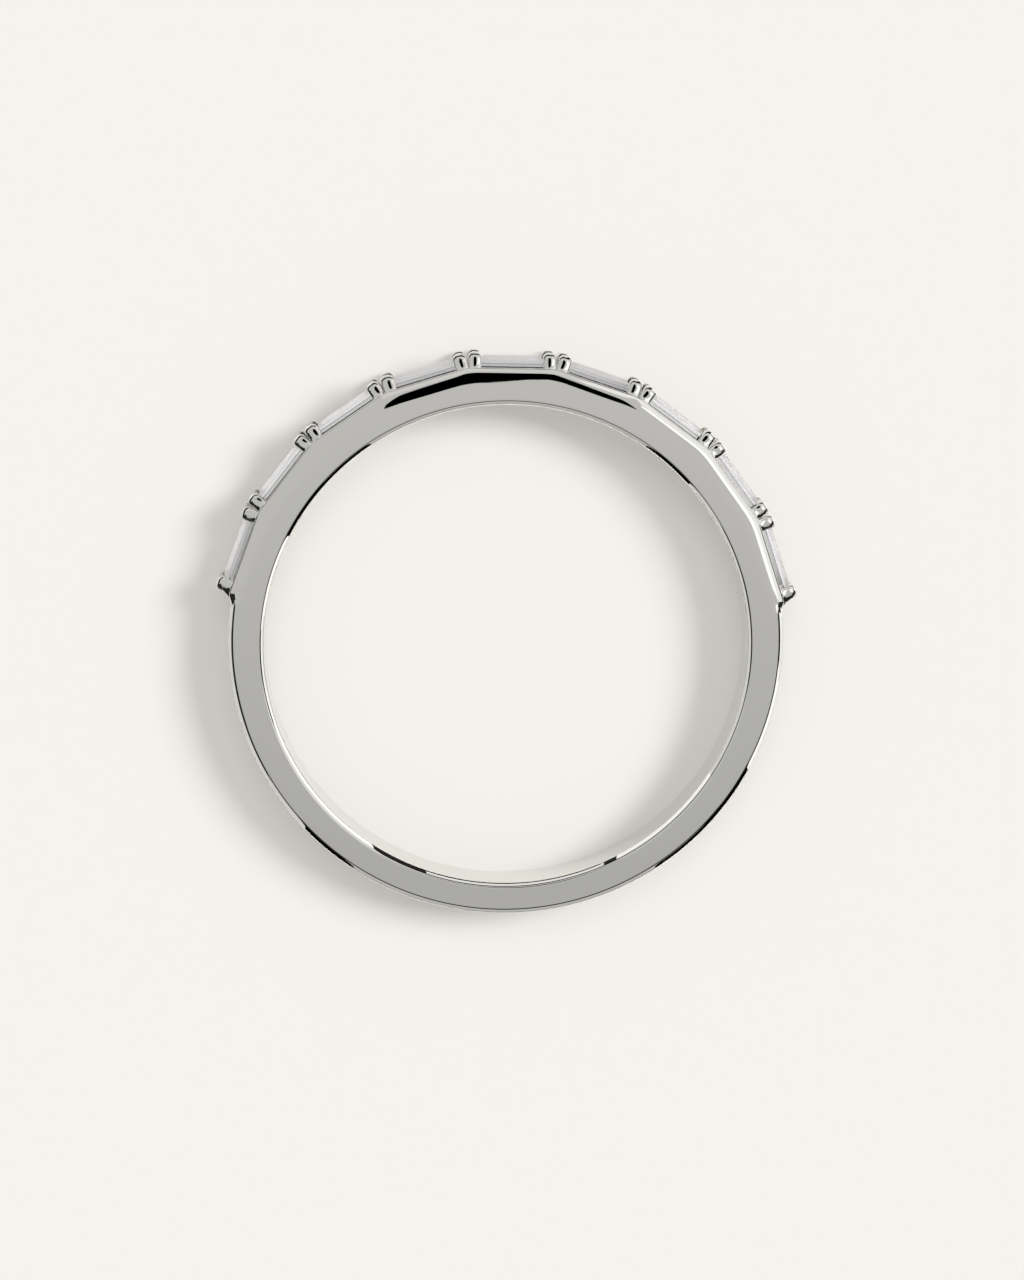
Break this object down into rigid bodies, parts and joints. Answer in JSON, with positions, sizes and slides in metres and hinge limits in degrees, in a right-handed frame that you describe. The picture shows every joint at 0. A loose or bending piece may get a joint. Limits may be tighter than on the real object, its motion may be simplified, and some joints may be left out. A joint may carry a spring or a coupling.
{
  "type": "baguette band",
  "caption": "Polished white metal ring lying on its side, with a row of step-cut baguette stones held end to end by paired corner prongs over its front arc.",
  "frame": {"origin": "middle of the ring's outline, prong tips included, on the plane that it lies on", "axes": "+Z is the bore's axis and points up from the ring's lower side, +Y points to the middle stone, +X to the right of it; the bore's axis passes 0.35 mm from the origin on the -Y side"},
  "size_m": [0.0208, 0.0204, 0.002],
  "materials": {
    "white_metal": "polished",
    "stone": "polished facets"
  },
  "bodies": {
    "root": {"band": "white_metal", "baguette_1": "stone", "baguette_2": "stone", "baguette_3": "stone", "baguette_4": "stone", "baguette_5": "stone", "baguette_6": "stone", "baguette_7": "stone", "baguette_8": "stone", "baguette_9": "stone"}
  },
  "joints": []
}
